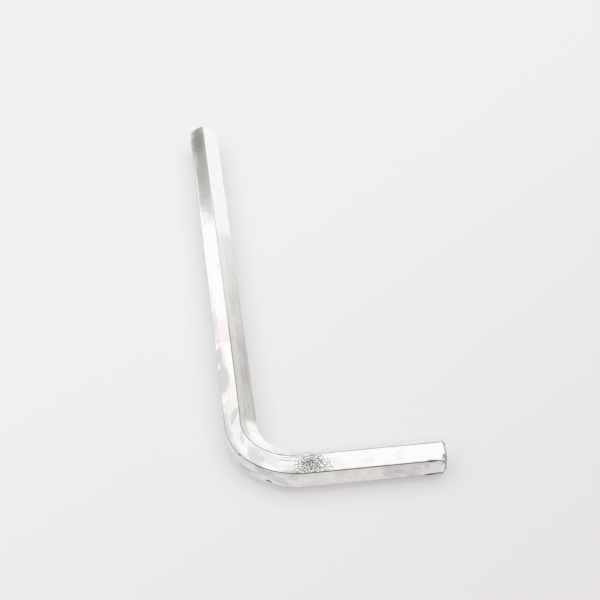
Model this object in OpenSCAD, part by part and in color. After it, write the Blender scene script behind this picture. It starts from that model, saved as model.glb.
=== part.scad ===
// Hex key: one length of drawn hexagonal steel bar, bent to an L and chamfered at both tips.
// The flats of the bar face the inside and the outside of the bend, so the key lies on one edge of the
// bar, with the opposite edge on top. The long arm points along +Y and the short arm along +X.

/* [Bar] */
// Width across the flats, the size of socket that the key fits
across_flats = 4; // [2.5:0.5:8]
// Radius on the six long edges of the bar
edge_r = 0.25; // [0.1:0.05:0.5]

/* [Arms] */
// Overall length of the long arm, from its tip to the outer flat of the short arm
long_arm = 73.5; // [40:0.5:150]
// Overall length of the short arm, from its tip to the outer flat of the long arm
short_arm = 25.8; // [18:0.1:60]

/* [Bend] */
// Angle through which the bar is bent
bend_angle = 90; // [60:1:110]
// Radius of the bend on its inner flat
bend_inner_r = 5.1; // [2:0.1:8]

/* [Tips] */
// Depth of the 45 degree chamfer on each tip, measured in from the long edges
tip_chamfer = 0.42; // [0.2:0.02:0.9]

/* [Hidden] */
// Flat steps that make up the round on each long edge
edge_steps = 4;
// Facets in a full turn of the bend and of the chamfer cones
round_fn = 120;
// Angle between neighbouring edges of the bar, seen from its end
edge_pitch = 60;
// From the centre of the bar to the centre of an edge's round, and to the top of that edge
edge_centre_r = (across_flats / 2 - edge_r) / cos(edge_pitch / 2);
corner_r = edge_centre_r + edge_r;
// Radii of the bend at the centre of the bar and at its outer flat
bend_r = bend_inner_r + across_flats / 2;
bend_outer_r = bend_inner_r + across_flats;
// From the corner where the outer flats would meet to where the bend starts, along either arm
setback = bend_outer_r * tan(bend_angle / 2);
long_straight = long_arm - setback;
short_straight = short_arm - setback;
// Radius of the cone that chamfers a tip, where it meets the tip's face
tip_face_r = corner_r - tip_chamfer;

// One point on the round of an edge, at step 0 to edge_steps
function edge_point(edge, step) =
    let (
        out = edge_pitch / 2 + edge_pitch * edge,
        normal = out - edge_pitch / 2 + edge_pitch * step / edge_steps
    )
    edge_centre_r * [cos(out), sin(out)] + edge_r * [cos(normal), sin(normal)];

// End view of the bar: a hexagon with rounded edges, one of them at the top
module bar_section() {
    polygon([for (edge = [0:5], step = [0:edge_steps]) edge_point(edge, step)]);
}

// Cone that leaves the tip's face at the given height whole and takes the edges off round it
module chamfer_cone(height) {
    wide = 2 * corner_r;
    rotate_extrude($fn = round_fn)
        polygon([
            [0, -wide],
            [wide, -wide],
            [wide, height + tip_face_r - wide],
            [0, height + tip_face_r]
        ]);
}

// Straight stretch of bar along +Y from the end of the bend, with its tip chamfered
module straight_arm(length) {
    rotate([-90, 0, 0])
        intersection() {
            linear_extrude(length) bar_section();
            chamfer_cone(length);
        }
}

// Quarter turn of bar that joins the arms, about the centre of the bend
module bend() {
    rotate([0, 0, 180])
        rotate_extrude(angle = bend_angle, $fn = round_fn)
            translate([bend_r, 0]) bar_section();
}

module hex_key() {
    color([0.80, 0.80, 0.78])
        translate([bend_outer_r - short_arm / 2, bend_outer_r - long_arm / 2, corner_r]) {
            bend();
            translate([-bend_r, 0, 0]) straight_arm(long_straight);
            rotate([0, 0, bend_angle - 180]) translate([bend_r, 0, 0]) straight_arm(short_straight);
        }
}

hex_key();
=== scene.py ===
"""Plated steel hex key, lying on a pale table under soft studio light."""

from collections import namedtuple
from math import ceil, cos, exp, hypot, pi, radians, sin, tan

import bpy
from mathutils import Matrix, Vector, noise


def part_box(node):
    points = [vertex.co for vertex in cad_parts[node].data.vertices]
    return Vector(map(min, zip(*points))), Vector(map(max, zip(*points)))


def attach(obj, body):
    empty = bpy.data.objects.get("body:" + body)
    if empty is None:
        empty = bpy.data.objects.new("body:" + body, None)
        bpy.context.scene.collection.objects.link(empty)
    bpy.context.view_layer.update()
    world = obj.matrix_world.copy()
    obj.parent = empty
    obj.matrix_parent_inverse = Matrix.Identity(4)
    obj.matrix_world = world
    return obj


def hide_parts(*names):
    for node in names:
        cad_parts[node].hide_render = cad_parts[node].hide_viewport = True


MM = 0.001

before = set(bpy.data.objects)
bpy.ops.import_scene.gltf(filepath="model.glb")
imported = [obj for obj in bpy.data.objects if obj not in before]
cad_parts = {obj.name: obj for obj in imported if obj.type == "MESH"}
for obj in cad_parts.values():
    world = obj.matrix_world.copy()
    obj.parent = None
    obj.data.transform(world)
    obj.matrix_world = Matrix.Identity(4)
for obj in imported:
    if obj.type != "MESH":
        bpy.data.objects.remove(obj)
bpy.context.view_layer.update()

# The bar, in millimetres, with the part's own values
low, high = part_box("hex_key")
LONG_ARM = (high.y - low.y) / MM
SHORT_ARM = (high.x - low.x) / MM
CORNER_R = (high.z - low.z) / MM / 2
ACROSS_FLATS = 4.0
EDGE_R = 0.25
BEND_INNER_R = 5.1
TIP_CHAMFER = 0.42

# Section: a hexagon with rounded edges, one of them at the top and one at the bottom
HALF_FLATS = ACROSS_FLATS / 2
FLAT = ACROSS_FLATS * tan(pi / 6)
HALF_ROUND = 3 * FLAT
EDGE_CENTRE_R = CORNER_R - EDGE_R
EDGE_REACH = EDGE_R * tan(pi / 6)
TIP_FACE_R = CORNER_R - TIP_CHAMFER
TIP_ROUND = 0.05

# Centreline, from the long tip: the long arm, the bend, the short arm
BEND_R = BEND_INNER_R + HALF_FLATS
LONG_STRAIGHT = LONG_ARM - BEND_INNER_R - ACROSS_FLATS
SHORT_STRAIGHT = SHORT_ARM - BEND_INNER_R - ACROSS_FLATS
BEND_END = LONG_STRAIGHT + BEND_R * pi / 2
BAR_LENGTH = BEND_END + SHORT_STRAIGHT
BEND_CENTRE = Vector((-SHORT_ARM / 2 + HALF_FLATS + BEND_R, -LONG_ARM / 2 + HALF_FLATS + BEND_R, CORNER_R))

# How far cold bending pushed the ridges out and drew the outer flat in, and the length over which it fades
RIDGE_PUSH = 0.2
OUTER_DRAW = 0.1
BEND_SPREAD = 2.0

# Mesh: widest steps along the bar from each place to the next, steps across a flat and round an edge, and the
# sizes of the rings inside each cut end
RING_STEPS = [
    (0.0, 0.05),
    (0.7, 0.3),
    (LONG_STRAIGHT - BEND_SPREAD, 0.15),
    (BEND_END - 2.0, 0.1),
    (BEND_END + 4.0, 0.2),
    (BAR_LENGTH - 3.0, 0.1),
    (BAR_LENGTH - 0.7, 0.05),
    (BAR_LENGTH, 0.0),
]
FLAT_STEPS = 12
EDGE_STEPS = 6
CAP_RINGS = [0.98, 0.93, 0.8, 0.55, 0.28]

# Unevenness of the drawn bar, as (height, size) of its noise: over the flats, and within reach of an edge.
# There is none this near to the bottom ridge, and it grows over the next millimetre
WAVE = (0.012, 3.5)
EDGE_WEAR = (0.02, 0.6)
EDGE_WEAR_REACH = 0.2
SMOOTH_BOTTOM = 1.0

# Nicks: place along the bar, place across it from the top ridge, radius, depth. They end at so many radii
NICKS = [
    (68.3, 2.4, 0.16, 0.09),
    (71.8, 4.4, 0.22, 0.12),
    (72.4, 0.0, 0.14, 0.05),
    (73.9, 0.1, 0.12, 0.05),
    (77.2, 2.35, 0.14, 0.05),
    (88.1, 0.0, 0.12, 0.04),
    (90.3, 2.3, 0.16, 0.07),
    (90.8, 2.35, 0.12, 0.06),
    (91.3, 4.6, 0.3, 0.08),
    (91.9, 1.9, 0.14, 0.06),
    (9.0, -4.6, 0.2, 0.06),
    (38.0, 2.3, 0.16, 0.05),
    (52.0, 4.6, 0.2, 0.06),
    (58.5, -2.3, 0.14, 0.04),
]
NICK_REACH = 3

# Burrs on the short tip: place along the bar, place across it, radius, push past the tip, push outwards
BURRS = [
    (92.25, 1.6, 1.9, 0.14, 0.0),
    (92.2, 2.4, 0.35, 0.03, 0.05),
    (92.2, 0.0, 0.17, 0.05, 0.16),
]

# Colours of the metal and of what has marked it. The first one paints highlights, and some of the darker ones
# also paint reflections
PAINTED_HIGHLIGHT = (1.0, 1.0, 0.99)
PLATE = (0.93, 0.93, 0.915)
SOOT_AND_DARK_REFLECTION = (0.10, 0.10, 0.095)
SMOKE_AND_DARK_REFLECTION = (0.25, 0.25, 0.24)
TARNISH_AND_DARK_REFLECTION = (0.37, 0.365, 0.35)
GREY = (0.49, 0.49, 0.475)
# The next colour paints a dim reflection on the inner top face
DIM_REFLECTION = (0.525, 0.51, 0.485)
SILVER = (0.63, 0.63, 0.615)
LILAC = (0.67, 0.65, 0.665)
PINK = (0.89, 0.80, 0.81)
ROSE = (0.62, 0.575, 0.58)
CREAM = (0.88, 0.85, 0.79)
BROWN = (0.47, 0.43, 0.41)
OLIVE = (0.86, 0.865, 0.82)

# Faces of the bar: from and to, across it from the top ridge, and how far marks fade outside and inside them
INNER_TOP = (-FLAT, 0.0)
OUTER_TOP = (0.0, FLAT)
OUTER_SIDE = (FLAT, 2 * FLAT)
OUTSIDE = (0.0, 2 * FLAT + 0.3)
ALL_ROUND = (-4 * FLAT, 4 * FLAT)
FACES = (INNER_TOP, OUTER_TOP, OUTER_SIDE, OUTSIDE, ALL_ROUND)
FACE_FADE = (0.03, 0.07)

# Where the UV map has the middles of the cut ends, along the bar
LONG_CUT = -10.0
SHORT_CUT = BAR_LENGTH + 10.0

# Textures of the surface: changes in a millimetre along and across, detail, roughness, distortion
Texture = namedtuple("Texture", "scale detail roughness distortion")
WANDER = Texture((0.9, 1.6), 4, 0.75, 0.0)
BLOTCHES = Texture((0.55, 0.9), 5, 0.6, 0.6)
GRAIN = Texture((4.5, 6.0), 3, 0.6, 0.0)
DRAW_LINES = Texture((0.25, 7.0), 3, 0.6, 0.0)
STREAKS = Texture((0.12, 3.5), 4, 0.65, 0.0)

# Veils of colour: the values of a texture at which they start and are full, and their strength
Veil = namedtuple("Veil", "reach strength colour")
BLOTCH_VEIL = Veil((0.52, 0.78), 0.3, SILVER)
DRAW_LINE_VEIL = Veil((0.52, 0.72), 0.15, GREY)
MOTTLE_VEIL = Veil((0.51, 0.55), 0.35, SILVER)
GRAIN_VEIL = Veil((0.55, 0.75), 0.05, TARNISH_AND_DARK_REFLECTION)

# Marks on a face: middle (along, across), half size (along, across), turn in degrees, colour, strength, and
# softness and raggedness of the outline. Fully ragged, its wandering reaches over so many half sizes
Mark = namedtuple("Mark", "face middle size turn colour strength soft ragged")
MARKS = [
    # The next five marks paint a dark reflection over the far end of the outer top face, with tints in it
    Mark(OUTER_TOP, (8.0, 0.9), (12.4, 1.6), 0, GREY, 0.95, 0.35, 0.25),
    Mark(OUTER_TOP, (7.0, 1.15), (7.5, 1.0), 0, TARNISH_AND_DARK_REFLECTION, 0.85, 0.5, 0.35),
    Mark(OUTER_TOP, (3.6, 1.05), (2.9, 0.85), 0, SMOKE_AND_DARK_REFLECTION, 0.85, 0.7, 0.4),
    Mark(OUTER_TOP, (11.3, 1.3), (2.4, 0.7), 0, BROWN, 0.4, 0.6, 0.5),
    Mark(OUTER_TOP, (8.0, 1.9), (2.0, 0.35), 0, SILVER, 0.5, 0.6, 0.5),
    Mark(OUTER_TOP, (47.2, 0.9), (2.8, 1.0), 0, PINK, 0.7, 0.3, 0.9),
    Mark(OUTER_TOP, (45.5, 1.9), (2.6, 0.4), 0, LILAC, 0.5, 0.6, 0.9),
    Mark(OUTER_TOP, (51.7, 1.4), (2.2, 0.4), 3, PINK, 0.75, 0.4, 0.9),
    Mark(OUTER_TOP, (51.4, 1.85), (2.1, 0.4), 0, ROSE, 0.85, 0.4, 1.0),
    Mark(OUTER_TOP, (56.0, 1.65), (2.9, 0.8), 0, SILVER, 0.95, 0.35, 0.7),
    Mark(OUTER_TOP, (59.0, 0.8), (2.0, 0.7), 0, PINK, 0.4, 0.5, 0.9),
    Mark(OUTER_TOP, (61.2, 1.6), (1.8, 0.7), 0, CREAM, 0.6, 0.4, 0.8),
    Mark(OUTER_TOP, (63.1, 0.7), (1.6, 0.4), 24, LILAC, 0.9, 0.25, 0.7),
    Mark(OUTER_TOP, (62.9, 1.2), (0.9, 0.16), 40, SILVER, 0.7, 0.4, 0.6),
    Mark(OUTER_TOP, (65.3, 1.75), (0.9, 0.35), -10, SILVER, 0.6, 0.3, 0.7),
    Mark(OUTER_TOP, (67.1, 0.65), (1.1, 0.22), 28, ROSE, 0.65, 0.4, 0.6),
    # Painted highlight: a white spot on the outer top face at the bend
    Mark(OUTER_TOP, (68.2, 1.5), (0.8, 0.5), 20, PAINTED_HIGHLIGHT, 0.6, 0.25, 0.6),
    Mark(OUTER_TOP, (70.0, 1.3), (1.2, 0.75), 20, LILAC, 0.8, 0.2, 0.7),
    Mark(OUTER_TOP, (71.5, 1.0), (1.6, 0.6), 0, SILVER, 0.35, 0.5, 0.9),
    Mark(OUTER_TOP, (74.0, 1.4), (0.45, 0.4), 0, CREAM, 0.8, 0.4, 0.5),
    # These three marks also shape the painted dark reflection at the far end
    Mark(OUTER_TOP, (16.5, 1.7), (3.2, 0.6), 0, GREY, 0.55, 0.7, 0.4),
    Mark(OUTER_TOP, (13.5, 2.25), (6.0, 0.25), 0, PLATE, 0.6, 0.6, 0.5),
    Mark(OUTER_TOP, (20.0, 0.45), (3.0, 0.5), 0, GREY, 0.45, 0.8, 0.4),
    Mark(OUTER_TOP, (42.5, 2.2), (5.5, 0.45), 0, SILVER, 0.3, 0.7, 0.5),
    Mark(OUTER_TOP, (66.5, 1.1), (6.8, 1.5), 0, SILVER, 0.28, 0.15, 0.5),
    Mark(OUTER_TOP, (65.0, 2.15), (3.9, 0.35), 0, GREY, 0.5, 0.6, 0.7),
    Mark(OUTER_TOP, (69.9, 0.7), (1.3, 0.9), 12, LILAC, 0.3, 0.3, 0.7),
    Mark(OUTER_TOP, (74.0, 2.15), (1.0, 0.3), 0, TARNISH_AND_DARK_REFLECTION, 0.5, 0.5, 0.8),
    Mark(INNER_TOP, (65.2, -0.35), (2.1, 0.5), 0, GREY, 0.55, 0.4, 0.4),
    # The next two marks are painted highlights: bright streaks on the inner top face inside the bend
    Mark(INNER_TOP, (69.4, -1.5), (2.9, 0.8), 0, PAINTED_HIGHLIGHT, 1.0, 0.35, 0.7),
    Mark(INNER_TOP, (70.0, -0.5), (1.2, 0.35), 0, PAINTED_HIGHLIGHT, 0.8, 0.5, 0.7),
    Mark(INNER_TOP, (35.0, -0.35), (9.5, 0.5), 0, PLATE, 0.35, 0.8, 0.4),
    Mark(INNER_TOP, (43.5, -1.7), (1.8, 0.6), 0, OLIVE, 0.3, 0.5, 0.7),
    Mark(INNER_TOP, (46.5, -1.2), (2.4, 1.0), 0, CREAM, 0.3, 0.3, 0.5),
    Mark(INNER_TOP, (48.0, -2.0), (12.0, 0.6), 0, GREY, 0.2, 0.7, 0.4),
    Mark(INNER_TOP, (49.8, -1.9), (2.4, 0.7), 0, GREY, 0.3, 0.5, 0.7),
    Mark(INNER_TOP, (55.5, -1.5), (2.0, 0.6), 0, BROWN, 0.45, 0.5, 0.8),
    Mark(INNER_TOP, (52.5, -0.4), (10.5, 0.5), 0, PLATE, 0.22, 0.8, 0.4),
    Mark(INNER_TOP, (75.5, -0.8), (1.6, 0.5), 0, SILVER, 0.5, 0.5, 0.8),
    Mark(INNER_TOP, (83.0, -0.8), (2.6, 0.45), 0, CREAM, 0.5, 0.5, 0.8),
    Mark(OUTER_SIDE, (70.6, 3.6), (4.2, 1.5), 0, SILVER, 0.15, 0.3, 0.5),
    Mark(OUTER_SIDE, (80.0, 2.6), (13.0, 0.3), 0, GREY, 0.3, 0.5, 0.5),
    Mark(OUTER_SIDE, (69.5, 3.9), (1.2, 0.3), -15, GREY, 0.5, 0.3, 0.8),
    Mark(OUTER_SIDE, (70.3, 3.2), (0.9, 0.25), -20, PLATE, 0.8, 0.3, 0.7),
    Mark(OUTER_SIDE, (73.0, 3.6), (0.9, 0.4), 25, SILVER, 0.6, 0.3, 0.8),
    Mark(OUTER_SIDE, (71.3, 3.0), (1.0, 0.6), 0, GREY, 0.45, 0.3, 0.9),
    Mark(OUTER_SIDE, (74.3, 2.9), (0.5, 0.6), 0, ROSE, 0.6, 0.3, 0.6),
    Mark(OUTER_SIDE, (79.5, 3.4), (5.5, 1.6), 0, CREAM, 0.6, 0.3, 0.5),
    Mark(OUTER_SIDE, (79.6, 2.8), (0.8, 0.5), 0, SILVER, 0.45, 0.5, 0.9),
    Mark(OUTER_SIDE, (85.8, 3.2), (1.2, 1.2), 0, SILVER, 0.6, 0.4, 0.6),
    Mark(OUTER_SIDE, (87.8, 3.5), (1.8, 1.2), 0, BROWN, 0.2, 0.3, 0.9),
    Mark(OUTER_SIDE, (90.7, 3.4), (1.1, 0.7), 0, OLIVE, 0.9, 0.3, 0.4),
    Mark(OUTER_SIDE, (91.85, 3.6), (0.25, 0.3), 0, PLATE, 1.0, 0.4, 0.3),
    Mark(OUTSIDE, (68.3, 2.45), (0.25, 0.12), 0, SOOT_AND_DARK_REFLECTION, 0.85, 0.5, 0.8),
    Mark(OUTSIDE, (71.8, 4.3), (0.32, 0.16), 0, SOOT_AND_DARK_REFLECTION, 0.9, 0.5, 0.8),
    Mark(OUTSIDE, (90.5, 2.3), (0.5, 0.12), 0, SOOT_AND_DARK_REFLECTION, 0.8, 0.5, 1.2),
    Mark(OUTSIDE, (90.75, 4.5), (1.3, 0.17), 0, SOOT_AND_DARK_REFLECTION, 1.0, 0.4, 0.5),
    Mark(OUTSIDE, (91.95, 2.0), (0.16, 0.35), 0, TARNISH_AND_DARK_REFLECTION, 0.6, 0.5, 1.5),
    Mark(OUTSIDE, (91.8, 1.9), (0.06, 0.3), 35, SOOT_AND_DARK_REFLECTION, 0.6, 0.6, 0.4),
    Mark(OUTSIDE, (92.0, 1.95), (0.06, 0.4), -25, SOOT_AND_DARK_REFLECTION, 0.55, 0.6, 0.4),
    Mark(OUTSIDE, (92.0, 2.75), (0.07, 0.5), -20, SOOT_AND_DARK_REFLECTION, 0.85, 0.6, 0.4),
    Mark(OUTSIDE, (91.75, 2.75), (0.06, 0.35), 30, SMOKE_AND_DARK_REFLECTION, 0.8, 0.6, 0.4),
    Mark(OUTSIDE, (91.65, 2.5), (0.3, 0.07), 25, SOOT_AND_DARK_REFLECTION, 0.7, 0.6, 0.4),
    Mark(OUTSIDE, (91.95, 4.35), (0.35, 0.12), -35, SOOT_AND_DARK_REFLECTION, 0.9, 0.5, 0.4),
    Mark(OUTSIDE, (92.15, 3.9), (0.12, 0.75), 0, SOOT_AND_DARK_REFLECTION, 0.85, 0.6, 0.3),
    Mark(OUTER_SIDE, (89.9, 3.0), (0.3, 0.35), 0, BROWN, 0.4, 0.5, 1.6),
    Mark(OUTER_SIDE, (88.5, 3.3), (0.7, 0.35), 0, BROWN, 0.35, 0.5, 1.6),
    Mark(ALL_ROUND, (92.15, -0.05), (0.22, 0.16), 0, SOOT_AND_DARK_REFLECTION, 0.8, 0.6, 0.3),
    Mark(ALL_ROUND, (BAR_LENGTH + 0.02, 0.5), (0.19, 7.0), 0, SMOKE_AND_DARK_REFLECTION, 0.85, 0.4, 0.15),
    Mark(ALL_ROUND, (0.0, 0.5), (0.16, 7.0), 0, TARNISH_AND_DARK_REFLECTION, 0.6, 0.5, 0.2),
    Mark(ALL_ROUND, (SHORT_CUT, 0.0), (1.8, 1.8), 0, GREY, 0.8, 0.15, 0.1),
    Mark(ALL_ROUND, (SHORT_CUT + 0.3, -0.9), (1.5, 0.6), 8, TARNISH_AND_DARK_REFLECTION, 0.7, 0.3, 0.6),
    Mark(ALL_ROUND, (LONG_CUT, 0.0), (1.8, 1.8), 0, GREY, 0.8, 0.15, 0.1),
    Mark(ALL_ROUND, (LONG_CUT - 0.2, -0.8), (1.5, 0.6), -6, TARNISH_AND_DARK_REFLECTION, 0.7, 0.3, 0.6),
]
MARK_WANDER = 3.0

# Painted dim reflection on the inner top face: its strength rises over each stretch by so much, and ends at
# the bend.
# Streaks vary it, from one level to another
DIM_REFLECTION_RISES = [((25.0, 28.0), 0.38), ((28.0, 50.0), 0.5)]
DIM_REFLECTION_END = (63.3, 65.0)
STREAK_REACH = (0.35, 0.65)
STREAK_LEVELS = (0.82, 1.15)

# Faces turned away from the light: from and to across the bar, and from and to along it, and how far the
# stains fade outside and inside those sides and those ends
AWAY_FACES = [
    ((-4 * FLAT, -FLAT), (-20.0, 120.0)),
    ((FLAT, 4 * FLAT), (-20.0, 64.0)),
    ((2 * FLAT, 4 * FLAT), (64.0, 120.0)),
]
AWAY_SIDE_FADE = (0.07, 0.07)
AWAY_END_FADE = (0.0, 3.0)

# Stains on those faces: texture, how far it is moved along and across, and veil
Stain = namedtuple("Stain", "texture shift veil")
STAINS = [
    Stain(Texture((0.16, 0.45), 5, 0.62, 0.7), (17.0, 9.0), Veil((0.50, 0.60), 0.35, SILVER)),
    Stain(Texture((0.30, 0.62), 5, 0.62, 0.7), (28.9, 15.3), Veil((0.56, 0.60), 0.55, LILAC)),
    Stain(Texture((0.22, 0.55), 5, 0.62, 0.7), (39.1, 20.7), Veil((0.58, 0.63), 0.5, CREAM)),
    Stain(Texture((0.40, 0.80), 5, 0.62, 0.7), (52.7, 27.9), Veil((0.60, 0.64), 0.6, GREY)),
    Stain(Texture((0.55, 0.90), 5, 0.62, 0.7), (73.1, 38.7), Veil((0.66, 0.70), 0.7, TARNISH_AND_DARK_REFLECTION)),
]

# Dark lines: those along the edges are painted dark reflections in the rounded edges, and the short ones by
# the nicks and the pits are dark marks. Each has place across, from and to along the bar, length of fading,
# half width, strength.
# They are full within a share of their half width, and wander by a share of it
Line = namedtuple("Line", "across start end fade half strength")
EDGE_REFLECTIONS_AND_MARKS = [
    Line(0.0, 18.0, 48.0, 3.0, 0.10, 0.35),
    Line(0.0, 46.0, 76.0, 1.5, 0.09, 0.75),
    Line(0.0, 72.3, 73.1, 0.2, 0.13, 0.9),
    Line(0.0, 73.8, 74.5, 0.2, 0.13, 0.8),
    Line(0.0, 76.0, 92.1, 0.5, 0.09, 0.75),
    Line(0.0, 88.5, 92.2, 1.5, 0.09, 0.6),
    Line(0.3, 72.9, 74.3, 0.3, 0.06, 0.7),
    Line(0.65, 72.7, 74.4, 0.3, 0.06, 0.7),
    Line(FLAT, 2.0, 62.0, 2.0, 0.07, 0.4),
    Line(FLAT, 61.0, 72.0, 1.5, 0.09, 0.7),
    Line(FLAT, 70.0, 91.9, 1.0, 0.11, 0.9),
    Line(2 * FLAT, 3.0, 72.0, 2.0, 0.08, 0.4),
    Line(2 * FLAT, 72.0, 91.9, 1.0, 0.10, 0.5),
    Line(-FLAT, 70.0, 91.5, 3.0, 0.08, 0.35),
    Line(-2 * FLAT, 2.0, 91.5, 2.0, 0.08, 0.4),
]
LINE_CORE = 0.3
LINE_WANDER = 0.8

# Pitted patch beside the bend: where it starts and ends along the bar, each from and to, the reach of their
# wandering, and how much farther it ends for each millimetre from the top ridge
PITS_START = (74.0, 74.6)
PITS_START_WANDER = 1.2
PITS_END = (75.8, 79.0)
PITS_END_WANDER = 4.0
PITS_SLANT = 0.65

# The patch has crumbs, and cracks round small cells, each darkening from one value to another. Breaks fade
# the cracks, down to a least share. The core is denser, by a share added to the crumbs and the breaks
PITS_CORE = Mark(OUTER_TOP, (76.3, 1.15), (1.3, 1.0), 0, SOOT_AND_DARK_REFLECTION, 1.0, 0.7, 0.6)
CORE_SHARE = 0.2
CRUMBS = Texture((5.0, 6.0), 2, 0.7, 1.2)
CRUMB_REACH = (0.69, 0.77)
CELL_SCALE = (2.9, 3.2, 1)
CRACK_REACH = (0.14, 0.04)
BREAKS = Texture((3.2, 3.6), 2, 0.6, 0.0)
BREAK_REACH = (0.40, 0.54)
BREAK_LEAST = 0.15
PITS_STRENGTH = 0.95

# Roughness of the plate where the blotches are thin and thick, and what the pits add to it
ROUGHNESS_REACH = (0.35, 0.75)
ROUGHNESS = (0.24, 0.38)
PIT_ROUGHNESS = 0.25

# Relief too fine for the mesh: full height in millimetres, strength, and the shares of it
RELIEF_HEIGHT = 0.03
RELIEF_STRENGTH = 0.35
PIT_RELIEF = -0.6
GRAIN_RELIEF = 0.2
DRAW_LINE_RELIEF = 0.25

# Camera: where it stands and what it aims at, in millimetres, how far its right side dips, and its lens
CAMERA_AT = Vector((-18.15, -189.29, 156.97))
CAMERA_AIM = Vector((-0.904, -3.204, 2.271))
CAMERA_DIP = radians(1.82)
CAMERA_LENS = 109.275
CAMERA_SENSOR = 36.0
CAMERA_NEAREST = 0.01

# Studio walls: brightest in one direction, at the mean level plus the swing, and dimmed by a share in
# another, from one cosine of the angle to it to the next. Matt surfaces get only a share of the walls' light
SKY_TOWARDS = Vector((-0.45, 0.10, 0.89))
SKY_MEAN = 0.99
SKY_SWING = 0.11
SKY_DIM_TOWARDS = Vector((0.25, -0.95, 0.15))
SKY_DIM_REACH = (0.4, 0.95)
SKY_DIM_SHARE = 0.35
SKY_ON_MATT = 0.45

# Softbox overhead, in metres and watts, which lights matt surfaces only
LAMP_AT = Vector((0.0, -0.06, 0.5))
LAMP_SIZE = 1.1
LAMP_POWER = 3.7

# Table, in metres: its colour runs from the dim to the bright one in one direction, between two distances
# from the middle, as a painted falloff of light over it, and a share of it glows, as on a light table
TABLE_SIZE = 8.0
TABLE_DIM = (0.770, 0.743, 0.756)
TABLE_BRIGHT = (0.857, 0.854, 0.856)
TABLE_TOWARDS = Vector((-0.6, 0.8, 0))
TABLE_REACH = (-0.08, 0.03)
TABLE_GLOW = 0.38


def bell(value, centre, radius):
    """1 at the centre, falling to nearly 0 at twice the radius."""
    return exp(-((value - centre) / radius) ** 2)


def polar(angle, radius):
    return Vector((cos(angle), sin(angle))) * radius


def section_point(across):
    """Point (inwards, up) of the section, and its outward normal, at a distance from the top ridge."""
    edge = round(across / FLAT)
    past = across - edge * FLAT
    corner = pi / 2 + edge * pi / 3
    if abs(past) < EDGE_REACH:
        turn = corner + past / EDGE_REACH * pi / 6
        return polar(corner, EDGE_CENTRE_R) + polar(turn, EDGE_R), polar(turn, 1)
    side = 1 if past > 0 else -1
    turn = corner + side * pi / 6
    from_middle = past - side * FLAT / 2
    return polar(turn, HALF_FLATS) + polar(turn + pi / 2, from_middle), polar(turn, 1)


def section_steps():
    """Distances from the top ridge all round the section, from the bottom ridge over the inside."""
    steps = [-HALF_ROUND]
    for edge in range(-3, 3):
        corner = edge * FLAT
        half = EDGE_STEPS // 2
        steps += [corner + EDGE_REACH * step / half for step in range(1, half + 1)]
        span = FLAT - 2 * EDGE_REACH
        steps += [corner + EDGE_REACH + span * step / FLAT_STEPS for step in range(1, FLAT_STEPS + 1)]
        steps += [corner + FLAT - EDGE_REACH * (half - step) / half for step in range(1, half + 1)]
    return steps


def ring_places():
    """Places along the bar for the rings of the mesh."""
    places = []
    for (start, step), (end, _) in zip(RING_STEPS, RING_STEPS[1:]):
        count = ceil((end - start) / step)
        places += [start + (end - start) * index / count for index in range(count)]
    return places + [BAR_LENGTH]


def centreline(along):
    """Point of the centreline, with the directions to the inside of the bend and to the short tip."""
    turn = min(max(along - LONG_STRAIGHT, 0) / BEND_R, pi / 2)
    inside = Vector((cos(turn), sin(turn), 0))
    ahead = Vector((sin(turn), -cos(turn), 0))
    past = min(along - LONG_STRAIGHT, 0) + max(along - BEND_END, 0)
    return BEND_CENTRE - inside * BEND_R + ahead * past, inside, ahead


def bent(point, along):
    """The section's point as the cold bend left it."""
    from_bend = max(LONG_STRAIGHT - along, along - BEND_END)
    fade = min(max(1 - from_bend / BEND_SPREAD, 0), 1)
    middle = (LONG_STRAIGHT + BEND_END) / 2
    share = bell(along, middle, (BEND_END - LONG_STRAIGHT) / 2) * fade
    push = RIDGE_PUSH * (point.y / CORNER_R) ** 2
    draw = OUTER_DRAW * max(-point.x / HALF_FLATS, 0) ** 2
    return Vector((point.x + share * (draw - push), point.y))


def unevenness(along, across):
    """Height of the drawn and knocked surface over the true one."""
    spot = Vector((along, across, 0))
    height = WAVE[0] * noise.noise(spot / WAVE[1])
    to_edge = across - round(across / FLAT) * FLAT
    height += EDGE_WEAR[0] * noise.noise(spot / EDGE_WEAR[1]) * bell(to_edge, 0, EDGE_WEAR_REACH)
    for nick_along, nick_across, radius, depth in NICKS:
        far = hypot(along - nick_along, across - nick_across)
        if far < NICK_REACH * radius:
            height -= depth * bell(far, 0, radius)
    return height * min(1, max(0, HALF_ROUND - SMOOTH_BOTTOM - abs(across)))


def tip_limit(along):
    """Radius that the tips' chamfers leave, with a slightly rounded rim."""
    depth = min(along, BAR_LENGTH - along)
    return TIP_FACE_R + depth - TIP_ROUND * exp(-depth / TIP_ROUND)


def smooth_min(a, b, blend):
    """The lesser of two values, rounded off where they are nearly the same."""
    share = max(blend - abs(a - b), 0) / blend
    return min(a, b) - share * share * blend / 4


def burr_push(along, across):
    """How far the burrs push a point past the tip, and how far outwards."""
    past = outwards = 0.0
    for burr_along, burr_across, radius, past_tip, raised in BURRS:
        share = bell(hypot(along - burr_along, across - burr_across), 0, radius)
        past += share * past_tip
        outwards += share * raised
    return past, outwards


def surface_point(along, across):
    """Point of the bar's surface, in millimetres."""
    point, normal = section_point(across)
    point = bent(point + normal * unevenness(along, across), along)
    radius = point.length
    point *= smooth_min(radius, tip_limit(along), TIP_ROUND) / radius
    past, outwards = burr_push(along, across)
    point += normal * outwards
    middle, inside, ahead = centreline(along)
    return middle + inside * point.x + ahead * past + Vector((0, 0, point.y))


Ring = namedtuple("Ring", "along first")


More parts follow.
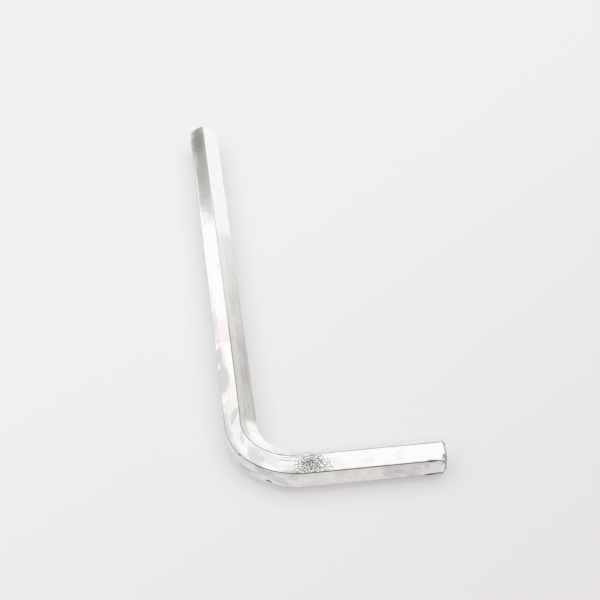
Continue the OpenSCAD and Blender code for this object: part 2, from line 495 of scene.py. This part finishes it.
class BarMesh:
    """The bar as one closed mesh. Its UV map "bar" has millimetres along the bar and across it, and on the
    cut ends millimetres from their middles."""

    def __init__(self):
        self.steps = section_steps()
        self.count = len(self.steps) - 1
        self.around = [(index, (index + 1) % self.count) for index in range(self.count)]
        self.vertices = []
        self.faces = []
        self.places = []

    def add_ring(self, along):
        ring = Ring(along, len(self.vertices))
        self.vertices += [surface_point(along, across) for across in self.steps[:-1]]
        return ring

    def add_side(self, behind, before):
        """The faces between two rings."""
        for index, following in self.around:
            self.faces.append((
                behind.first + index,
                behind.first + following,
                before.first + following,
                before.first + index,
            ))
            self.places += [
                (behind.along, self.steps[index]),
                (behind.along, self.steps[index + 1]),
                (before.along, self.steps[index + 1]),
                (before.along, self.steps[index]),
            ]

    def add_cut(self, ring, uv_middle, outward):
        """The flat end inside a ring."""
        centre, inside, _ = centreline(ring.along)
        rim = self.vertices[ring.first:ring.first + self.count]
        starts = [ring.first]
        for scale in CAP_RINGS:
            starts.append(len(self.vertices))
            self.vertices += [centre.lerp(point, scale) for point in rim]
        middle = len(self.vertices)
        self.vertices.append(centre)
        flat = []
        for outer, inner in zip(starts, starts[1:]):
            flat += [(outer + one, outer + other, inner + other, inner + one) for one, other in self.around]
        flat += [(starts[-1] + one, starts[-1] + other, middle) for one, other in self.around]
        for face in flat:
            face = face if outward else face[::-1]
            self.faces.append(face)
            for index in face:
                out = self.vertices[index] - centre
                self.places.append((uv_middle + out.dot(inside), out.z))

    def finished(self):
        mesh = bpy.data.meshes.new("bar")
        mesh.from_pydata([point * MM for point in self.vertices], [], self.faces)
        layer = mesh.uv_layers.new(name="bar")
        for spot, place in zip(layer.uv, self.places):
            spot.vector = place
        mesh.polygons.foreach_set("use_smooth", [True] * len(mesh.polygons))
        mesh.update()
        return mesh


def bar_mesh():
    bar = BarMesh()
    rings = [bar.add_ring(along) for along in ring_places()]
    for behind, before in zip(rings, rings[1:]):
        bar.add_side(behind, before)
    bar.add_cut(rings[0], LONG_CUT, False)
    bar.add_cut(rings[-1], SHORT_CUT, True)
    return bar.finished()


class Shader:
    """The nodes of a material or of the world, built by calls that take and give sockets."""

    def __init__(self, owner):
        owner.use_nodes = True
        self.nodes = owner.node_tree.nodes
        self.links = owner.node_tree.links

    def feed(self, socket, value):
        """Links an input to another node's output, or sets it to a value."""
        if isinstance(value, bpy.types.NodeSocket):
            self.links.new(value, socket)
        elif socket.type == "RGBA":
            socket.default_value = (*value, 1.0)
        else:
            socket.default_value = value

    def fill(self, name, inputs):
        """Feeds the inputs of a node that is there already."""
        for key, value in inputs.items():
            self.feed(self.nodes[name].inputs[key], value)

    def node(self, kind, settings, inputs, output=0):
        made = self.nodes.new("ShaderNode" + kind)
        for name, value in settings.items():
            setattr(made, name, value)
        for key, value in inputs.items():
            self.feed(made.inputs[key], value)
        return made.outputs[output]

    def math(self, operation, *values):
        return self.node("Math", {"operation": operation}, dict(enumerate(values)))

    def product(self, *values):
        return self.math("MULTIPLY", *values)

    def vector_math(self, operation, first, second, output=0):
        return self.node("VectorMath", {"operation": operation}, {0: first, 1: second}, output)

    def dot(self, place, direction):
        return self.vector_math("DOT_PRODUCT", place, direction, "Value")

    def noise(self, place, texture):
        inputs = {
            "Vector": self.vector_math("MULTIPLY", place, (*texture.scale, 1)),
            "Scale": 1.0,
            "Detail": texture.detail,
            "Roughness": texture.roughness,
            "Distortion": texture.distortion,
        }
        return self.node("TexNoise", {}, inputs)

    def ramp(self, value, start, end, low=0.0, high=1.0):
        """low where the value is at start or before, high at end or after, smoothly between."""
        settings = {"interpolation_type": "SMOOTHSTEP"}
        inputs = {"Value": value, "From Min": start, "From Max": end, "To Min": low, "To Max": high}
        return self.node("MapRange", settings, inputs)

    def window(self, value, span, fade):
        """1 where the value is within the span, 0 beyond it, fading so far outside and inside its ends."""
        outside, inside = fade
        start = self.ramp(value, span[0] - outside, span[0] + inside)
        end = self.ramp(value, span[1] - inside, span[1] + outside, 1.0, 0.0)
        return self.product(start, end)

    def mix(self, share, colour, other):
        """The colour with a share of the other one. Some of this node's sockets have the same name, so those
        of the colours go by number."""
        return self.node("Mix", {"data_type": "RGBA"}, {"Factor": share, 6: colour, 7: other}, 2)


class BarShader(Shader):
    """The nodes of the bar's material, with the place along and across the bar, its faces and textures."""

    def __init__(self, material):
        super().__init__(material)
        self.place = self.node("UVMap", {"uv_map": "bar"}, {})
        self.along = self.node("SeparateXYZ", {}, {0: self.place})
        self.across = self.along.node.outputs[1]
        self.wander = self.math("SUBTRACT", self.noise(self.place, WANDER), 0.5)
        self.bands = {face: self.window(self.across, face, FACE_FADE) for face in FACES}
        self.blotches = self.noise(self.place, BLOTCHES)
        self.grain = self.noise(self.place, GRAIN)
        self.draw_lines = self.noise(self.place, DRAW_LINES)

    def wandering(self, value, reach):
        """The value, changed here and there by up to about half the reach."""
        return self.math("MULTIPLY_ADD", self.wander, reach, value)

    def veiled(self, colour, texture, veil, where=1.0):
        """The colour with a veil over it where the texture is high."""
        share = self.product(self.ramp(texture, *veil.reach, 0.0, veil.strength), where)
        return self.mix(share, colour, veil.colour)

    def cover(self, mark):
        """How much of the surface a mark covers, from 0 to its strength."""
        turn = radians(mark.turn)
        ahead = Vector((cos(turn), sin(turn), 0)) / mark.size[0]
        aside = Vector((-sin(turn), cos(turn), 0)) / mark.size[1]
        middle = Vector((*mark.middle, 0))
        inputs = {0: self.dot(self.place, ahead), 1: self.dot(self.place, aside)}
        turned = self.node("CombineXYZ", {}, inputs)
        centre = (middle.dot(ahead), middle.dot(aside), 0)
        far = self.vector_math("DISTANCE", turned, centre, "Value")
        far = self.wandering(far, MARK_WANDER * mark.ragged)
        full = self.ramp(far, 1 + mark.soft, 1 - mark.soft, 0.0, mark.strength)
        return self.product(full, self.bands[mark.face])


def dim_reflected(bar, colour):
    """The colour with the painted dim reflection of the inner top face over it."""
    dim_share = bar.math("ADD", *[bar.ramp(bar.along, *reach, 0.0, rise) for reach, rise in DIM_REFLECTION_RISES])
    dim_share = bar.product(dim_share, bar.ramp(bar.along, *DIM_REFLECTION_END, 1.0, 0.0))
    dim_share = bar.product(dim_share, bar.bands[INNER_TOP])
    streaks = bar.ramp(bar.noise(bar.place, STREAKS), *STREAK_REACH, *STREAK_LEVELS)
    return bar.mix(bar.product(dim_share, streaks), colour, DIM_REFLECTION)


def stained(bar, colour):
    """The colour with stains over it on the faces turned away from the light."""
    away = 0.0
    for sides, ends in AWAY_FACES:
        across = bar.window(bar.across, sides, AWAY_SIDE_FADE)
        along = bar.window(bar.along, ends, AWAY_END_FADE)
        away = bar.math("MAXIMUM", away, bar.product(across, along))
    for stain in STAINS:
        moved = bar.vector_math("ADD", bar.place, (*stain.shift, 0))
        colour = bar.veiled(colour, bar.noise(moved, stain.texture), stain.veil, away)
    return colour


def marked(bar, colour):
    """The colour with the marks over it."""
    for mark in MARKS:
        colour = bar.mix(bar.cover(mark), colour, mark.colour)
    return colour


def with_edge_reflections_and_marks(bar, colour):
    """The colour with the dark lines over it: painted dark reflections along the edges, and dark marks."""
    for line in EDGE_REFLECTIONS_AND_MARKS:
        far = bar.math("ABSOLUTE", bar.math("SUBTRACT", bar.across, line.across))
        far = bar.wandering(far, LINE_WANDER * line.half)
        near = bar.ramp(far, line.half, LINE_CORE * line.half)
        starts = bar.ramp(bar.along, line.start - line.fade, line.start + line.fade, 0.0, line.strength)
        ends = bar.ramp(bar.along, line.end - line.fade, line.end, 1.0, 0.0)
        colour = bar.mix(bar.product(near, bar.product(starts, ends)), colour, SOOT_AND_DARK_REFLECTION)
    return colour


def pitted(bar):
    """How pitted the surface is, from 0 to 1: cracks round small cells, and crumbled away at the core."""
    starts = bar.ramp(bar.wandering(bar.along, PITS_START_WANDER), *PITS_START)
    slanted = bar.math("MULTIPLY_ADD", bar.across, -PITS_SLANT, bar.along)
    ends = bar.ramp(bar.wandering(slanted, PITS_END_WANDER), *PITS_END, 1.0, 0.0)
    spread = bar.product(bar.product(starts, ends), bar.bands[OUTER_TOP])
    core = bar.cover(PITS_CORE)
    crumbs = bar.noise(bar.place, CRUMBS)
    crumbled = bar.ramp(bar.math("MULTIPLY_ADD", core, CORE_SHARE, crumbs), *CRUMB_REACH)
    cell_place = bar.vector_math("ADD", bar.vector_math("MULTIPLY", bar.place, CELL_SCALE), crumbs)
    inputs = {"Vector": cell_place, "Scale": 1.0, "Randomness": 1.0}
    to_crack = bar.node("TexVoronoi", {"feature": "DISTANCE_TO_EDGE"}, inputs)
    breaks = bar.math("MULTIPLY_ADD", core, CORE_SHARE, bar.noise(bar.place, BREAKS))
    broken = bar.ramp(breaks, *BREAK_REACH, BREAK_LEAST, 1.0)
    cracks = bar.product(bar.ramp(to_crack, *CRACK_REACH), broken)
    return bar.product(bar.math("MAXIMUM", cracks, crumbled), spread)


def relief(bar, pits):
    """Normal of the surface with its pits, its grain and its drawing lines."""
    height = bar.math("MULTIPLY_ADD", pits, PIT_RELIEF, bar.product(bar.grain, GRAIN_RELIEF))
    height = bar.math("MULTIPLY_ADD", bar.draw_lines, DRAW_LINE_RELIEF, height)
    inputs = {"Strength": RELIEF_STRENGTH, "Distance": RELIEF_HEIGHT * MM, "Height": height}
    return bar.node("Bump", {}, inputs)


def plated_steel():
    """Bright zinc plate on drawn steel: mottled, stained, pitted at the bend, with painted reflections: dark
    over the far tip and along the edges, dim on the inner top face, and painted highlights at the bend.
    """
    material = bpy.data.materials.new("plated_steel")
    bar = BarShader(material)
    colour = bar.veiled(PLATE, bar.blotches, BLOTCH_VEIL)
    colour = bar.veiled(colour, bar.draw_lines, DRAW_LINE_VEIL)
    colour = stained(bar, dim_reflected(bar, colour))
    colour = bar.veiled(colour, bar.blotches, MOTTLE_VEIL, bar.bands[OUTER_SIDE])
    colour = marked(bar, colour)
    colour = with_edge_reflections_and_marks(bar, bar.veiled(colour, bar.grain, GRAIN_VEIL))
    pits = pitted(bar)
    colour = bar.mix(bar.product(pits, PITS_STRENGTH), colour, SOOT_AND_DARK_REFLECTION)
    roughness = bar.ramp(bar.blotches, *ROUGHNESS_REACH, *ROUGHNESS)
    bar.fill("Principled BSDF", {
        "Base Color": colour,
        "Roughness": bar.math("MULTIPLY_ADD", pits, PIT_ROUGHNESS, roughness),
        "Normal": relief(bar, pits),
        "Metallic": 1.0,
    })
    return material


def add_object(name, data):
    made = bpy.data.objects.new(name, data)
    bpy.context.scene.collection.objects.link(made)
    return made


def add_hex_key():
    mesh = bar_mesh()
    mesh.materials.append(plated_steel())
    key = add_object("hex_key_bar", mesh)
    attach(key, "root")
    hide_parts("hex_key")


def table_top():
    """Matt pale material with a painted falloff of light, a little brighter on one side, which glows as on a
    light table.
    """
    material = bpy.data.materials.new("table")
    shader = Shader(material)
    place = shader.node("TexCoord", {}, {}, "Object")
    # Painted falloff of light: the table is brighter towards one side
    share = shader.ramp(shader.dot(place, TABLE_TOWARDS), *TABLE_REACH)
    tone = shader.mix(share, TABLE_DIM, TABLE_BRIGHT)
    shader.fill("Principled BSDF", {
        "Base Color": shader.vector_math("MULTIPLY", tone, (1 - TABLE_GLOW,) * 3),
        "Emission Color": tone,
        "Emission Strength": TABLE_GLOW,
        "Roughness": 1.0,
        "Specular IOR Level": 0.0,
    })
    return material


def add_table():
    half = TABLE_SIZE / 2
    corners = [(-half, -half, 0), (half, -half, 0), (half, half, 0), (-half, half, 0)]
    mesh = bpy.data.meshes.new("table")
    mesh.from_pydata(corners, [], [(0, 1, 2, 3)])
    mesh.materials.append(table_top())
    add_object("table", mesh)


def add_camera():
    data = bpy.data.cameras.new("camera")
    data.lens = CAMERA_LENS
    data.sensor_width = CAMERA_SENSOR
    data.clip_start = CAMERA_NEAREST
    camera = add_object("camera", data)
    sight = (CAMERA_AIM - CAMERA_AT).normalized()
    level = sight.cross(Vector((0, 0, 1))).normalized()
    right = Matrix.Rotation(CAMERA_DIP, 3, sight) @ level
    turn = Matrix((right, right.cross(sight), -sight)).transposed()
    camera.matrix_world = Matrix.Translation(CAMERA_AT * MM) @ turn.to_4x4()
    bpy.context.scene.camera = camera


def add_lamp():
    data = bpy.data.lights.new("softbox", "AREA")
    data.shape = "SQUARE"
    data.size = LAMP_SIZE
    data.energy = LAMP_POWER
    lamp = add_object("softbox", data)
    lamp.location = LAMP_AT
    lamp.rotation_euler = (-LAMP_AT).to_track_quat("-Z", "Y").to_euler()
    lamp.visible_camera = False
    lamp.visible_glossy = False


def add_studio():
    """The walls' light, and the table's own tone where the camera sees past the table."""
    world = bpy.data.worlds.new("studio")
    bpy.context.scene.world = world
    shader = Shader(world)
    direction = shader.node("TexCoord", {}, {}, "Generated")
    bright = shader.dot(direction, SKY_TOWARDS.normalized())
    level = shader.math("MULTIPLY_ADD", bright, SKY_SWING, SKY_MEAN)
    near_dim = shader.dot(direction, SKY_DIM_TOWARDS.normalized())
    dim = shader.ramp(near_dim, *SKY_DIM_REACH, 1.0, 1.0 - SKY_DIM_SHARE)
    on_matt = shader.node("LightPath", {}, {}, "Is Diffuse Ray")
    matt = shader.ramp(on_matt, 0.0, 1.0, 1.0, SKY_ON_MATT)
    strength = shader.product(shader.product(level, dim), matt)
    shader.fill("Background", {"Color": (1, 1, 1), "Strength": strength})
    walls = shader.nodes["Background"].outputs[0]
    backdrop = shader.node("Background", {}, {"Color": TABLE_BRIGHT})
    seen = shader.node("LightPath", {}, {}, "Is Camera Ray")
    light = shader.node("MixShader", {}, {0: seen, 1: walls, 2: backdrop})
    shader.fill("World Output", {"Surface": light})


bpy.context.scene.view_settings.view_transform = "Standard"
add_camera()
add_studio()
add_lamp()
add_table()
add_hex_key()
